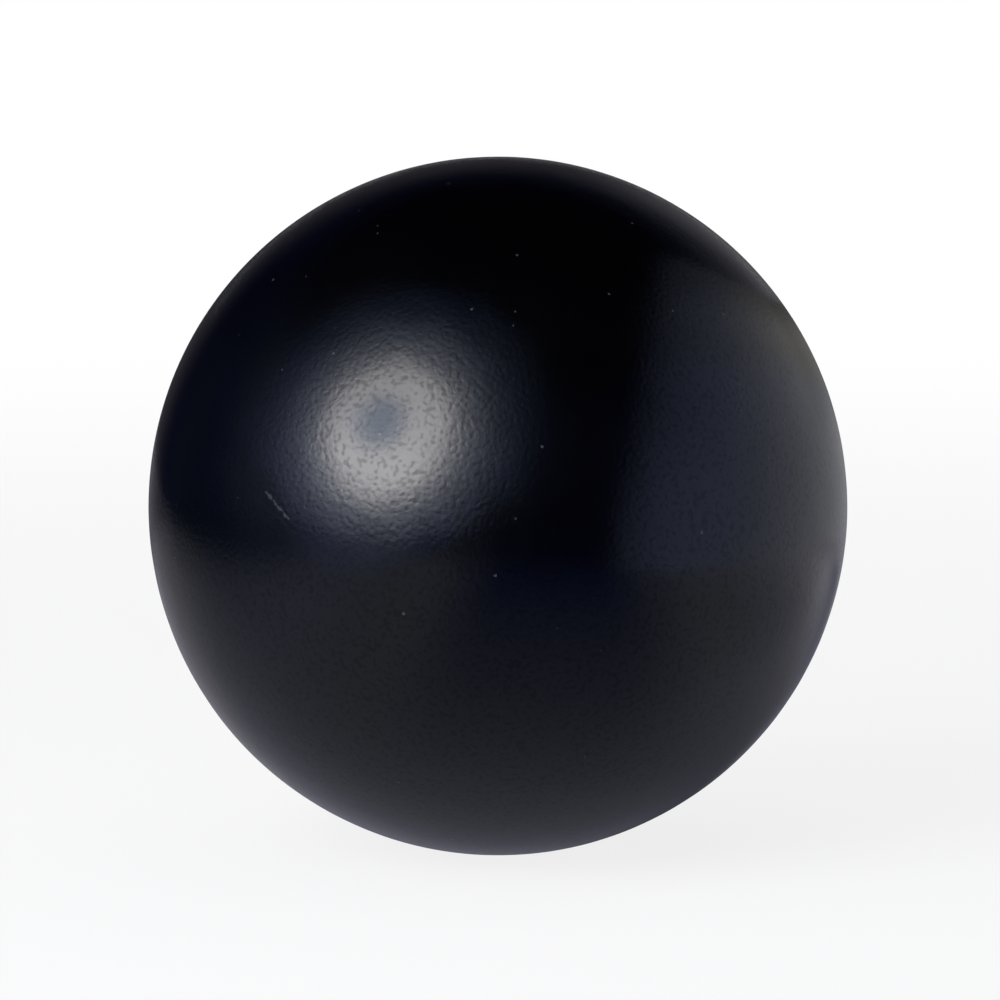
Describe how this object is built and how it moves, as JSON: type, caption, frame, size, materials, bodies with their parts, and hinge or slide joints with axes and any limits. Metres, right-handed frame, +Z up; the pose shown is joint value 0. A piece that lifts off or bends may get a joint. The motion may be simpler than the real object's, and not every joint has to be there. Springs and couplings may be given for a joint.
{
  "type": "squash ball",
  "caption": "Small hollow ball of plain black rubber, moulded as half shells that are bonded at a mid-line seam, with a finely grained skin; bounces when struck against a wall.",
  "frame": {"origin": "centre of the ball", "axes": "+Z up, +Y along the moulding axis and square to the seam plane, from the front half to the rear half, +X to the right seen from the front"},
  "size_m": [0.04, 0.04, 0.04],
  "materials": {
    "black_rubber": "moulded and buffed black rubber with a fine pitted grain and a soft sheen",
    "cured_adhesive": "cured rubber adhesive, a little greyer and duller than the skin"
  },
  "bodies": {
    "root": {"front_half_shell": "black_rubber", "rear_half_shell": "black_rubber", "seam_adhesive": "cured_adhesive"}
  },
  "joints": []
}
